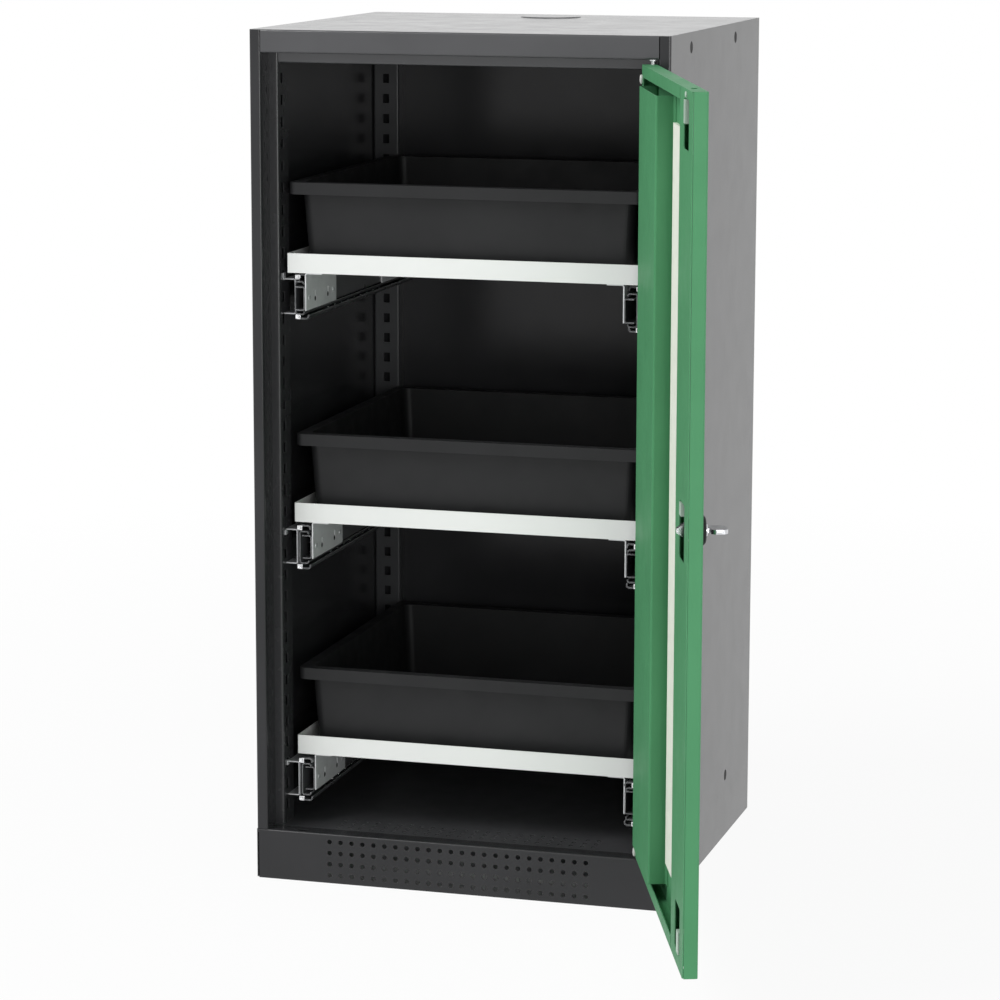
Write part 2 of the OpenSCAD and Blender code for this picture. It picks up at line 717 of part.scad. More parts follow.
// Tray: a moulded tub with leaning walls and a turned-down rim, standing in its pan
module tray(i) {
    pan_gap = 3;                        // tray to pan, front and rear
    side_room = 1;                      // rim to the pan's sides
    rim_r = 9;
    wall_r = 14;
    y0 = tray_front - pulled[i] + pan_gap;
    z0 = levels[i] + pan_sheet;
    top = levels[i] + pan_h + rim_top_h;
    l = tray_l - 2 * pan_gap;
    w = tray_w - 2 * side_room;
    h = top - z0;
    tub_w = w - 2 * rim_w;
    tub_l = l - 2 * rim_w;
    lip_t = 2.5;
    color(tray_black) from_front() translate([0, y0, 0]) difference() {
        union() {
            translate([0, rim_w, z0]) leaning_block(tub_w, tub_l, h, wall_lean, wall_r);
            translate([-w / 2, 0, top - rim_h]) rounded_box(w, l, rim_h, rim_r);
        }
        translate([0, rim_w + tray_wall, z0 + tray_wall])
            leaning_block(tub_w - 2 * tray_wall, tub_l - 2 * tray_wall, h, wall_lean, wall_r - tray_wall);
        difference() {
            translate([-w / 2 + lip_t, lip_t, top - rim_h - cut])
                rounded_box(w - 2 * lip_t, l - 2 * lip_t, rim_h - lip_t + cut, rim_r - lip_t);
            translate([0, rim_w, z0]) leaning_block(tub_w, tub_l, h + cut, wall_lean, wall_r);
        }
    }
}

// ---------------------------------------------------------------- door

// Puts a part drawn closed, with X = 0, Y = 0 on the hinge pin and -X to the free edge, at the drawn angle
module on_door() translate([pin_x, pin_from_face - body_d / 2, 0]) rotate(door_angle)
    translate([0, -pin_from_face, 0]) mirror([1, 0, 0]) children();

// Door skin: an open pan with rounded edges and lips folded in round its back
module door_skin() {
    w = door_s1 - door_s0;
    t2 = door_sheet / 2;
    r = fold_r - t2;
    color(door_green) on_door() difference() {
        union() {
            translate([0, 0, door_z0]) linear_extrude(door_z1 - door_z0) bent_sheet([
                [door_s0 + door_lip, door_t - t2], [door_s0 + t2, door_t - t2], [door_s0 + t2, t2],
                [door_s1 - t2, t2], [door_s1 - t2, door_t - door_sheet - face_gap]], door_sheet, r);
            for (z = [door_z0, door_z1 - door_sheet]) translate([door_s0 + fold_r, t2, z])
                cube([w - 2 * fold_r, door_t - t2, door_sheet]);
            for (z = [door_z0, door_z1 - door_lip]) translate([door_s0 + door_lip, door_t - door_sheet, z])
                cube([w - door_lip - lock_profile_w - face_gap, door_sheet, door_lip]);
        }
        for (z = [door_z0, door_z1 - door_sheet]) {
            translate([0, pin_from_face, z - cut])
                cylinder(d = bush_d + 2 * pin_gap, h = door_sheet + 2 * cut);
            rod_s = lock_s + (z == door_z0 ? rod_offset : -rod_offset);
            translate([rod_s - rod_w / 2 - rod_hole, rod_q - rod_t / 2 - rod_hole, z - cut])
                cube([rod_w + 2 * rod_hole, rod_t + 2 * rod_hole, door_sheet + 2 * cut]);
        }
        translate([lock_s, -cut, lock_z]) rotate([-90, 0, 0])
            cylinder(d = nose_d + 1, h = door_sheet + 2 * cut);
    }
}

// Box stiffener: a wide hat section on the door's skin beside the hinge
module door_stiffener() {
    t2 = door_sheet / 2;
    s0 = stiffener_s;
    s1 = stiffener_s + stiffener_w;
    q0 = door_sheet + t2;
    q1 = door_sheet + stiffener_d - t2;
    color(door_green) on_door() translate([0, 0, stiffener_z0]) linear_extrude(stiffener_z1 - stiffener_z0)
        bent_sheet([[s0 - stiffener_foot + fold_r, q0], [s0 + t2, q0], [s0 + t2, q1], [s1 - t2, q1],
            [s1 - t2, q0], [s1 + stiffener_foot, q0]], door_sheet, fold_r - t2);
}

// Infill board: a cream board on the skin between stiffener and lock profile
module infill_board() {
    board_t = 4;
    board_gap = 1;
    s0 = stiffener_s + stiffener_w + stiffener_foot + board_gap;
    s1 = door_s1 - lock_profile_w - 2 * board_gap;
    color([0.93, 0.94, 0.85]) on_door() translate([s0, door_sheet, stiffener_z0 + board_short])
        cube([s1 - s0, board_t, stiffener_z1 - stiffener_z0 - 2 * board_short]);
}

// Lock profile: the folded channel along the free edge, with three windows over the lock's parts
module lock_profile() {
    t2 = door_sheet / 2;
    inside = 0.5;                       // the profile's edge lies this far inside the door's
    s0 = door_s1 - lock_profile_w;
    s1 = door_s1 - inside;
    z0 = door_z0 + door_sheet;
    z1 = door_z1 - door_sheet;
    color(door_green) on_door() difference() {
        translate([0, 0, z0]) linear_extrude(z1 - z0)
            bent_sheet([[s1, door_t - t2], [s0 + t2, door_t - t2], [s0 + t2, door_sheet]],
                door_sheet, fold_r - t2);
        window(window_low_z + window_h / 2, window_h);
        window(window_mid_z, window_mid_h);
        window(window_top_z - window_h / 2, window_h);
    }
}

// Window in the lock profile, with round corners, about a height
module window(z, h) {
    r = 4;
    translate([window_s, door_t + cut, z - h / 2]) rotate([90, 0, 0])
        linear_extrude(door_sheet + 2 * cut) rounded_plate(window_w, h, r);
}

// Plastic bushes that the hinge pins turn in
module hinge_bushes() {
    bush_h = 12;
    color([0.85, 0.86, 0.84]) on_door() translate([0, pin_from_face, 0])
        for (z = [door_z0, door_z1 - bush_h]) translate([0, 0, z]) difference() {
            cylinder(d = bush_d, h = bush_h);
            translate([0, 0, -cut]) cylinder(d = pin_d + 2 * pin_gap, h = bush_h + 2 * cut);
        }
}

// ---------------------------------------------------------------- lock

// Lock case on the skin's back, bored for the spindle
module lock_case() {
    case_w = 40;
    case_h = 60;
    color([0.35, 0.36, 0.38]) on_door() difference() {
        union() {
            translate([lock_s - case_w / 2, door_sheet, lock_z - case_h / 2])
                cube([case_w, case_d, case_h]);
            translate([lock_s, 0, lock_z]) rotate([-90, 0, 0]) cylinder(d = nose_d, h = door_sheet + cut);
        }
        spindle_bore(-cut, door_t);
    }
}

module spindle_bore(q, l) translate([lock_s, q, lock_z]) rotate([-90, 0, 0])
    cylinder(d = spindle_d + 2 * pin_gap, h = l);

// Round rosette on the door's face
module lock_rosette() {
    bevel = 2;
    color([0.08, 0.08, 0.09]) on_door() difference() {
        translate([lock_s, 0, lock_z]) rotate([90, 0, 0]) rotate_extrude()
            polygon([[0, 0], [rosette_d / 2, 0], [rosette_d / 2, rosette_t - bevel],
                [rosette_d / 2 - bevel, rosette_t], [0, rosette_t]]);
        spindle_bore(-rosette_t - cut, rosette_t + 2 * cut);
    }
}

// Turn handle: spindle, collar, slim neck and a thin wing with rounded corners
module turn_handle() {
    thick = 5;
    collar_d = 14;
    collar_h = 2;
    neck_w = 9;
    wing_l = wing_out - rosette_t - 5;
    shoulder = 4;                       // length over which the neck widens into the wing
    corner_r = 8;
    collar_q = -rosette_t - face_gap - collar_h;
    wing_q = -wing_out;
    color(zinc) on_door() translate([lock_s, 0, lock_z]) {
        translate([0, collar_q, 0]) rotate([-90, 0, 0]) {
            cylinder(d = spindle_d, h = rod_q - rod_t / 2 - face_gap - collar_q);
            cylinder(d = collar_d, h = collar_h);
        }
        intersection() {
            translate([0, 0, -thick / 2]) linear_extrude(thick) {
                translate([-wing_w / 2, wing_q]) rounded_plate(wing_w, wing_l, corner_r);
                polygon([[-neck_w / 2, collar_q + 1], [neck_w / 2, collar_q + 1],
                    [neck_w / 2, wing_q + wing_l + 1], [wing_w / 2 - corner_r, wing_q + wing_l - shoulder],
                    [corner_r - wing_w / 2, wing_q + wing_l - shoulder], [-neck_w / 2, wing_q + wing_l + 1]]);
            }
            translate([0, collar_q + 1, 0]) rotate([90, 0, 0]) cylinder(d = wing_w, h = wing_out);
        }
    }
}

// Cam on the spindle's end, whose two pins drive the rods
module lock_cam() {
    plate_t = 2.5;
    q0 = rod_q + rod_t / 2 + face_gap;
    start = rod_q - rod_t / 2 - face_gap;
    lug_w = 8;
    lug_h = 11;
    lug_base = 10;                      // half the lug's length at the plate
    lug_tip = 2.5;                      // and at its tip
    color(ball_steel) on_door() translate([lock_s, 0, lock_z]) {
        translate([0, q0, 0]) rotate([-90, 0, 0]) cylinder(r = cam_r + rod_pin_d / 2 + 1, h = plate_t);
        translate([0, start, 0]) rotate([-90, 0, 0]) cylinder(d = spindle_d, h = q0 - start);
        for (side = [-1, 1])
            translate([side * cam_r * cos(45), q0 - rod_t - face_gap, side * cam_r * sin(45)])
                rotate([-90, 0, 0]) cylinder(d = rod_pin_d, h = rod_t + face_gap + plate_t);
        translate([-lug_w / 2, q0 + plate_t, 0]) rotate([0, 90, 0])
            linear_extrude(lug_w)
                polygon([[-lug_base, 0], [lug_base, 0], [lug_tip, lug_h], [-lug_tip, lug_h]]);
    }
}

// One locking rod, 1 for the lower and -1 for the upper: a flat bar with a cross slot for its pin.
// The pin stands past the spindle from the rod's tip, so a quarter turn drives the rod out.
module rod(side) {
    foot = 6;                           // length past the pin
    pin_z = lock_z + side * cam_r * sin(45);
    tip = side > 0 ? door_z0 + rod_retract : door_z1 - rod_retract;
    far = pin_z + side * foot;
    slot_w = rod_pin_d + 2 * rod_slack + cam_r * (1 - cos(45));
    slot_h = rod_pin_d + 2 * rod_slack;
    slot_s = lock_s + side * cam_r * (1 + cos(45)) / 2;
    q = rod_q - rod_t / 2;
    color(zinc) on_door() difference() {
        translate([lock_s + side * rod_offset - rod_w / 2, q, min(tip, far)])
            cube([rod_w, rod_t, abs(far - tip)]);
        translate([slot_s - slot_w / 2, q - cut, pin_z - slot_h / 2])
            cube([slot_w, rod_t + 2 * cut, slot_h]);
    }
}

module upper_rod() rod(-1);
module lower_rod() rod(1);

// Guides that hold the rods near their tips and the upper rod over the lock, seen in the windows
module rod_guides() {
    end_h = 26;
    lock_h = 14.5;
    inset = 1.2;                        // from a guide to the edge of its window
    lock_top = window_mid_z + window_mid_h / 2 - inset;
    color([0.90, 0.91, 0.88]) on_door() {
        rod_guide(lock_s + rod_offset, window_low_z + inset, end_h, door_sheet);
        rod_guide(lock_s - rod_offset, window_top_z - inset - end_h, end_h, door_sheet);
        rod_guide(lock_s - rod_offset, lock_top - lock_h, lock_h, door_sheet + case_d);
    }
}

// One guide: a block round its rod that stands a little out of its window
module rod_guide(s, z, h, q0) {
    wide = rod_w + 6;
    proud = 1.5;
    difference() {
        translate([s - wide / 2, q0, z]) cube([wide, door_t + proud - q0, h]);
        translate([s - rod_w / 2 - run_gap, rod_q - rod_t / 2 - run_gap, z - cut])
            cube([rod_w + 2 * run_gap, rod_t + 2 * run_gap, h + 2 * cut]);
    }
}

// ---------------------------------------------------------------- pieces

side_panel_left();
side_panel_right();
front_post_left();
front_post_right();
rear_post_left();
rear_post_right();
back_panel();
top_panel();
exhaust_cover();
door_lintel();
floor_panel();
plinth_panel();
side_plugs();
hinge_pins();
runner_brackets(0);  // runner_brackets_top
runner_brackets(1);  // runner_brackets_middle
runner_brackets(2);  // runner_brackets_bottom
outer_members(0);  // outer_members_top
outer_members(1);  // outer_members_middle
outer_members(2);  // outer_members_bottom
outer_cages(0);  // outer_cages_top
outer_cages(1);  // outer_cages_middle
outer_cages(2);  // outer_cages_bottom
intermediate_members(0);  // intermediate_members_top
intermediate_members(1);  // intermediate_members_middle
intermediate_members(2);  // intermediate_members_bottom
inner_cages(0);  // inner_cages_top
inner_cages(1);  // inner_cages_middle
inner_cages(2);  // inner_cages_bottom
inner_members(0);  // inner_members_top
inner_members(1);  // inner_members_middle
inner_members(2);  // inner_members_bottom
runner_hangers(0);  // runner_hangers_top
runner_hangers(1);  // runner_hangers_middle
runner_hangers(2);  // runner_hangers_bottom
pan(0);  // pan_top
pan(1);  // pan_middle
pan(2);  // pan_bottom
tray(0);  // tray_top
tray(1);  // tray_middle
tray(2);  // tray_bottom
door_skin();
door_stiffener();
infill_board();
lock_profile();
hinge_bushes();
lock_case();
lock_rosette();
turn_handle();
lock_cam();
upper_rod();
lower_rod();
rod_guides();
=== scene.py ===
"""Looks of the reagent drawer cabinet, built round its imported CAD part."""

import json
import math

import bpy
from mathutils import Matrix, Vector


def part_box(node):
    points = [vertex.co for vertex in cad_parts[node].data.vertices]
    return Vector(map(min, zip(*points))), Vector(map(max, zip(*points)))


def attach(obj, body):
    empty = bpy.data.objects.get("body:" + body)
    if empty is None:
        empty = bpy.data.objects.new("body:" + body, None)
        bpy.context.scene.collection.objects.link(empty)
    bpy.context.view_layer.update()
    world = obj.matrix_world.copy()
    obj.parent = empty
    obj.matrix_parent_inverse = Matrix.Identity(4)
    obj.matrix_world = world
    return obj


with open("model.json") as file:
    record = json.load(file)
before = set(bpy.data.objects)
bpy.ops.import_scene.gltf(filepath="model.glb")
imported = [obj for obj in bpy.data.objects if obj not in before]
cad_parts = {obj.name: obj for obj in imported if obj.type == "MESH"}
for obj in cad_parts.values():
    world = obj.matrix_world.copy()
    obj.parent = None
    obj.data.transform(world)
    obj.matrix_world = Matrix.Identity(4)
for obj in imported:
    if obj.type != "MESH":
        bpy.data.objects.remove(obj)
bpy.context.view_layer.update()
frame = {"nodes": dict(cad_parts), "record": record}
bpy.ops.object.select_all(action="DESELECT")

LEVELS = ("top", "middle", "bottom")
EDGE_WEAR_AND_HIGHLIGHT_REACH = 0.0009  # how far wear, and the painted edge highlight on the runner steel, reaches in from an edge of painted metal
PALE_EDGE = 0.0008  # and the paler rub from an edge of plastic

# ------------------------------------------------------------------ finishes


def new_finish(name):
    """An empty node material with its shader and the Object coordinates."""
    mat = bpy.data.materials.new(name)
    mat.use_nodes = True
    tree = mat.node_tree
    shader = tree.nodes["Principled BSDF"]
    coords = tree.nodes.new("ShaderNodeTexCoord")
    return mat, tree, shader, coords.outputs["Object"]


def noise(tree, where, scale, detail=3.0, rough=0.5):
    """Noise over a coordinate, as a factor."""
    n = tree.nodes.new("ShaderNodeTexNoise")
    n.inputs["Scale"].default_value = scale
    n.inputs["Detail"].default_value = detail
    n.inputs["Roughness"].default_value = rough
    tree.links.new(where, n.inputs["Vector"])
    return n.outputs["Fac"]


def stretched(tree, where, scale):
    """The same coordinates drawn out unevenly, for grain."""
    m = tree.nodes.new("ShaderNodeMapping")
    m.inputs["Scale"].default_value = scale
    tree.links.new(where, m.inputs["Vector"])
    return m.outputs["Vector"]


def spread(tree, factor, low, high, start=0.3, end=0.7):
    """Maps a factor's middle part to a range."""
    r = tree.nodes.new("ShaderNodeMapRange")
    r.inputs["From Min"].default_value = start
    r.inputs["From Max"].default_value = end
    r.inputs["To Min"].default_value = low
    r.inputs["To Max"].default_value = high
    tree.links.new(factor, r.inputs["Value"])
    return r.outputs["Result"]


def tint(tree, factor, first, second):
    """Mixes two colours by a factor."""
    m = tree.nodes.new("ShaderNodeMix")
    m.data_type = "RGBA"
    for socket, value in (("A", first), ("B", second)):
        if hasattr(value, "is_linked"):
            tree.links.new(value, [s for s in m.inputs if s.name == socket and s.type == "RGBA"][0])
        else:
            [s for s in m.inputs if s.name == socket and s.type == "RGBA"][0].default_value = (*value, 1)
    tree.links.new(factor, m.inputs["Factor"])
    return [s for s in m.outputs if s.type == "RGBA"][0]


def edge_mask(tree, radius):
    """1 along sharp edges and 0 on flat faces."""
    bevel = tree.nodes.new("ShaderNodeBevel")
    bevel.samples = 4
    bevel.inputs["Radius"].default_value = radius
    here = tree.nodes.new("ShaderNodeNewGeometry")
    dot = tree.nodes.new("ShaderNodeVectorMath")
    dot.operation = "DOT_PRODUCT"
    tree.links.new(bevel.outputs["Normal"], dot.inputs[0])
    tree.links.new(here.outputs["True Normal"], dot.inputs[1])
    return spread(tree, dot.outputs["Value"], 1.0, 0.0, 0.75, 0.97)


def bumps(tree, shader, height, strength, distance):
    """Fine relief on the shader's normal."""
    b = tree.nodes.new("ShaderNodeBump")
    b.inputs["Strength"].default_value = strength
    b.inputs["Distance"].default_value = distance
    tree.links.new(height, b.inputs["Height"])
    tree.links.new(b.outputs["Normal"], shader.inputs["Normal"])


def powder_coat(name, colour, rough=0.35, shift=0.12, edge_wear_and_highlight=(0.55, 0.55, 0.54), edge_wear_and_highlight_share=0.25,
                specular=0.5):
    """Powder coat: slight clouding, fine orange peel and paler edges, which are rubbed wear, and on the
    runner steel a painted highlight.
    """
    mat, tree, shader, where = new_finish(name)
    darker = [c * (1 - shift) for c in colour]
    lighter = [min(1, c * (1 + shift)) for c in colour]
    cloud = tint(tree, spread(tree, noise(tree, where, 7), 0, 1), darker, lighter)
    edge = edge_mask(tree, EDGE_WEAR_AND_HIGHLIGHT_REACH)
    patchy = tree.nodes.new("ShaderNodeMath")
    patchy.operation = "MULTIPLY"
    tree.links.new(edge, patchy.inputs[0])
    patches = spread(tree, noise(tree, where, 60, 4), 0.2 * edge_wear_and_highlight_share, edge_wear_and_highlight_share)
    tree.links.new(patches, patchy.inputs[1])
    tree.links.new(tint(tree, patchy.outputs[0], cloud, edge_wear_and_highlight), shader.inputs["Base Color"])
    sheen = spread(tree, noise(tree, where, 25), rough * 0.88, rough * 1.12)
    tree.links.new(sheen, shader.inputs["Roughness"])
    shader.inputs["Specular IOR Level"].default_value = specular
    bumps(tree, shader, noise(tree, where, 700, 2), 0.12, 0.0004)
    return mat


def zinc_plate(name, colour, rough=0.40, metal=0.6, grain=(30, 6, 240)):
    """Zinc-plated steel: rolled grain, soft blotches and scratches."""
    mat, tree, shader, where = new_finish(name)
    shader.inputs["Metallic"].default_value = metal
    rolled = noise(tree, stretched(tree, where, grain), 4, 4)
    blotch = noise(tree, where, 38, 3)
    first = [c * 0.86 for c in colour]
    base = tint(tree, spread(tree, blotch, 0, 1), first, colour)
    tree.links.new(base, shader.inputs["Base Color"])
    tree.links.new(spread(tree, rolled, rough * 0.75, rough * 1.35), shader.inputs["Roughness"])
    bumps(tree, shader, rolled, 0.10, 0.0003)
    return mat


def polished(name, colour, rough=0.14):
    """Polished or plated metal with faint handling marks."""
    mat, tree, shader, where = new_finish(name)
    shader.inputs["Metallic"].default_value = 1.0
    marks = noise(tree, where, 120, 5)
    dull = [c * 0.86 for c in colour]
    base = tint(tree, spread(tree, noise(tree, where, 22), 0, 1), dull, colour)
    tree.links.new(base, shader.inputs["Base Color"])
    tree.links.new(spread(tree, marks, rough * 0.7, rough * 1.5), shader.inputs["Roughness"])
    bumps(tree, shader, noise(tree, stretched(tree, where, (60, 60, 900)), 6), 0.04, 0.0002)
    return mat


def moulded(name, colour, rough=0.5, texture=900, depth=0.2, shift=0.14, specular=0.5):
    """Moulded plastic: spark-eroded texture, soft scuffs and paler edges."""
    mat, tree, shader, where = new_finish(name)
    lighter = [min(1, c * (1 + shift) + 0.002) for c in colour]
    base = tint(tree, spread(tree, noise(tree, where, 16, 4), 0, 1), colour, lighter)
    rubbed = [min(1, c * 1.5 + 0.02) for c in colour]
    edge = spread(tree, edge_mask(tree, PALE_EDGE), 0.0, 0.5, 0.0, 1.0)
    tree.links.new(tint(tree, edge, base, rubbed), shader.inputs["Base Color"])
    sheen = spread(tree, noise(tree, where, 45, 4), rough * 0.85, rough * 1.15)
    tree.links.new(sheen, shader.inputs["Roughness"])
    shader.inputs["Specular IOR Level"].default_value = specular
    bumps(tree, shader, noise(tree, where, texture, 2), depth, 0.0003)
    return mat


def printed_board(name, colour):
    """Pressed board with a smooth pale face and a faint fibre."""
    mat, tree, shader, where = new_finish(name)
    fibre = noise(tree, stretched(tree, where, (300, 300, 40)), 3, 4)
    deeper = [c * 0.93 for c in colour]
    tree.links.new(tint(tree, spread(tree, fibre, 0, 1), deeper, colour), shader.inputs["Base Color"])
    tree.links.new(spread(tree, noise(tree, where, 60), 0.42, 0.58), shader.inputs["Roughness"])
    bumps(tree, shader, fibre, 0.08, 0.0003)
    return mat


FINISHES = {
    "cabinet_paint": powder_coat("cabinet_paint", (0.027, 0.027, 0.029), 0.19, edge_wear_and_highlight_share=0.10,
                                 specular=0.30),
    "post_paint": powder_coat("post_paint", (0.032, 0.032, 0.034), 0.26, edge_wear_and_highlight_share=0.12, specular=0.40),
    "door_paint": powder_coat("door_paint", (0.080, 0.278, 0.128), 0.52, 0.05,
                              edge_wear_and_highlight=(0.32, 0.52, 0.38), edge_wear_and_highlight_share=0.24, specular=0.12),
    "zinc_steel": zinc_plate("zinc_steel", (0.60, 0.61, 0.62)),
    "ball_steel": polished("ball_steel", (0.72, 0.73, 0.75), 0.16),
    "handle_chrome": polished("handle_chrome", (0.66, 0.67, 0.69), 0.18),
    "pan_paint": powder_coat("pan_paint", (0.84, 0.85, 0.83), 0.38, 0.02, (0.9, 0.9, 0.9), 0.1),
    "tray_plastic": moulded("tray_plastic", (0.012, 0.0122, 0.0130), 0.48, specular=0.28),
    "board": printed_board("board", (0.95, 0.97, 0.86)),
    "black_plastic": moulded("black_plastic", (0.008, 0.008, 0.0085), 0.6, specular=0.2),
    "pale_plastic": moulded("pale_plastic", (0.42, 0.55, 0.45), 0.4, shift=0.05),
    "case_steel": zinc_plate("case_steel", (0.28, 0.29, 0.30), 0.4, 0.8),
}
# Painted light: a lighter copy of the cabinet's black paint on the top panel, the exhaust cover and the
# lintel.
LIGHTENED_TOP_PAINT = powder_coat("lightened_top_paint", (0.066, 0.066, 0.070), 0.18, edge_wear_and_highlight_share=0.10, specular=0.52)
# Painted light: a lighter copy of the black paint on the floor panel, so the cabinet's inside floor reads
# lighter.
LIGHTENED_FLOOR_PAINT = powder_coat("lightened_floor_paint", (0.048, 0.048, 0.051), 0.34, edge_wear_and_highlight_share=0.20, specular=0.40)
# Painted light: a lighter copy of the black paint on the rear posts, so the cabinet's inside reads
# lighter.
LIGHTENED_INNER_PAINT = powder_coat("lightened_inner_paint", (0.052, 0.053, 0.056), 0.32, edge_wear_and_highlight_share=0.15, specular=0.40)
# Runner members: a dark base, with pale edges at full share that are a painted highlight along their
# edges.
RUNNER_STEEL = powder_coat("runner_steel", (0.060, 0.061, 0.064), 0.30,
                           edge_wear_and_highlight=(0.85, 0.86, 0.88), edge_wear_and_highlight_share=1.0)
# Hanger plates: a paler, less metallic copy of the zinc; the paler base is painted light that makes the
# plates read pale grey.
HANGER_STEEL = zinc_plate("hanger_steel", (0.74, 0.75, 0.76), 0.44, 0.35)
# Near-black for the screws behind the keyholes: painted shade that makes the keyholes read dark.
KEYHOLE_SHADE_BLACK = moulded("keyhole_shade_black", (0.004, 0.004, 0.0042), 0.55, specular=0.25)
STOP_STEEL = polished("stop_steel", (0.88, 0.89, 0.90), 0.22)
NYLON = moulded("nylon", (0.62, 0.63, 0.60), 0.32, shift=0.05)

# Finishes that replace a node's slot: the lightened paints and the hanger steel carry painted light, and
# the runner steel carries a painted edge highlight.
OWN_PAINTS = {
    "top_panel": LIGHTENED_TOP_PAINT,
    "exhaust_cover": LIGHTENED_TOP_PAINT,
    "door_lintel": LIGHTENED_TOP_PAINT,
    "floor_panel": LIGHTENED_FLOOR_PAINT,
    "rear_post_left": LIGHTENED_INNER_PAINT,
    "rear_post_right": LIGHTENED_INNER_PAINT,
}
for level in LEVELS:
    OWN_PAINTS[f"runner_hangers_{level}"] = HANGER_STEEL
    for member in ("outer", "intermediate", "inner"):
        OWN_PAINTS[f"{member}_members_{level}"] = RUNNER_STEEL

slot_of = {part["node"]: part["material_slot"] for part in frame["record"]["subparts"]}
for node, shape in frame["nodes"].items():
    shape.data.materials.clear()
    shape.data.materials.append(OWN_PAINTS.get(node, FINISHES[slot_of[node]]))

# ------------------------------------------------------------------ small fittings

hinge = [joint for joint in frame["record"]["behaviour"]["joints"] if joint["name"] == "door_hinge"][0]
PIN = hinge["pos_m"]
DOOR_TURN = -math.radians(hinge["range_deg"][0])  # how far the door stands open
PIN_DEPTH = 0.005  # the pins' middle, behind the door's face
DOOR_BACK = 0.018  # back of the door's lips and lock profile, behind its face

HANGER_L = 0.120
HANGER_T = 0.0016
RIVETS = (0.1, 0.9)  # shares of a hanger's length
KEYHOLES = (0.3, 0.72)
KEYHOLE_UP = 0.012  # middle of a keyhole, above the inner member's lower edge
STOP_INSET = 0.0003  # of an end stop, from the outline of its runner member

RIVET = {"radius": 0.0032, "thick": 0.0008, "crown": 0.0007}
SCREW = {"radius": 0.0033, "thick": 0.0014, "crown": 0.0006}
STOP = {"wide": 0.0072, "deep": 0.003, "tall": 0.0062}
BUFFER = {"radius": 0.0042, "thick": 0.0026, "crown": 0.0009, "tall": 1.35}
BUFFER_ALONG = 0.0035  # from the hinge pins
BUFFER_HEIGHTS = (1.0525, 0.0765)
PLUG = {"radius": 0.0034, "thick": 0.0016, "crown": 0.0006}
PLUG_ALONG = 0.4500
PLUG_HEIGHT = 1.0640

FACETS = 24
SHARP = math.radians(40)  # edges sharper than this are rounded and stay crisp
FACING = 0.9  # least part of a unit normal that counts as facing a way


def door_place(along, deep, height):
    """A place on the door, from the hinge pins and from the face inwards, facing inwards."""
    turned = Matrix.Translation((PIN[0], PIN[1], 0)) @ Matrix.Rotation(DOOR_TURN, 4, "Z")
    spot = Matrix.Translation((-along, deep - PIN_DEPTH, height))
    return turned @ spot @ Matrix.Rotation(-math.pi / 2, 4, "X")


def pick_faces(piece, wanted):
    """Goes to edit mode with only those faces selected that a test accepts."""
    bpy.ops.object.mode_set(mode="EDIT")
    bpy.ops.mesh.select_mode(type="FACE")
    bpy.ops.mesh.select_all(action="DESELECT")
    bpy.ops.object.mode_set(mode="OBJECT")
    for face in piece.data.polygons:
        face.select = wanted(face)
    bpy.ops.object.mode_set(mode="EDIT")


def round_edges(piece, width, steps=2):
    """Rounds a piece's sharp edges for good."""
    bevel = piece.modifiers.new("rounded", "BEVEL")
    bevel.width = width
    bevel.segments = steps
    bevel.limit_method = "ANGLE"
    bevel.angle_limit = SHARP
    bpy.ops.object.modifier_apply(modifier=bevel.name)
    bpy.ops.object.shade_smooth_by_angle(angle=SHARP)


def facing_up(face):
    """Tests for a face on top of a piece that lies on its back."""
    return face.normal.z > FACING


def facing_front(face):
    """Tests for a face at a piece's front."""
    return face.normal.y < -FACING


def button(radius, thick, crown, tall=1.0):
    """A button that lies on its back: a disc whose face is drawn in to a low crown."""
    bpy.ops.object.select_all(action="DESELECT")
    middle = (0, 0, thick / 2)
    bpy.ops.mesh.primitive_cylinder_add(vertices=FACETS, radius=radius, depth=thick, location=middle)
    bpy.ops.object.transform_apply(location=True, rotation=False, scale=False)
    piece = bpy.context.object
    pick_faces(piece, facing_up)
    bpy.ops.mesh.inset(thickness=radius * 0.32, depth=crown * 0.6)
    bpy.ops.mesh.inset(thickness=radius * 0.36, depth=crown * 0.4)
    bpy.ops.mesh.select_all(action="SELECT")
    bpy.ops.transform.resize(value=(1, tall, 1))
    bpy.ops.object.mode_set(mode="OBJECT")
    round_edges(piece, thick * 0.25)
    return piece


def stop_block(wide, deep, tall):
    """An end stop: a block with a waist pressed into its front."""
    bpy.ops.object.select_all(action="DESELECT")
    bpy.ops.mesh.primitive_cube_add(size=1, location=(0, 0, 0))
    piece = bpy.context.object
    bpy.ops.object.mode_set(mode="EDIT")
    bpy.ops.mesh.select_all(action="SELECT")
    bpy.ops.transform.resize(value=(wide, deep, tall))
    bpy.ops.object.mode_set(mode="OBJECT")
    pick_faces(piece, facing_front)
    bpy.ops.mesh.inset(thickness=tall * 0.26, depth=0)
    bpy.ops.mesh.extrude_region_move(TRANSFORM_OT_translate={"value": (0, deep * 0.3, 0)})
    bpy.ops.object.mode_set(mode="OBJECT")
    round_edges(piece, tall * 0.12)
    return piece


def set_out(pattern, places, name, body, slot, paint=None):
    """Copies a modelled piece to each place and joins the copies into one piece on a body."""
    bpy.ops.object.select_all(action="DESELECT")
    for place in places:
        each = pattern.copy()
        each.data = pattern.data.copy()
        each.data.transform(place)
        bpy.context.scene.collection.objects.link(each)
        each.select_set(True)
        bpy.context.view_layer.objects.active = each
    if len(places) > 1:
        bpy.ops.object.join()
    piece = bpy.context.view_layer.objects.active
    piece.name = name
    piece.data.materials.clear()
    piece.data.materials.append(paint or FINISHES[slot])
    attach(piece, body)
    return piece


def put_away(pattern):
    """Removes a pattern once its copies are set out."""
    bpy.data.objects.remove(pattern, do_unlink=True)


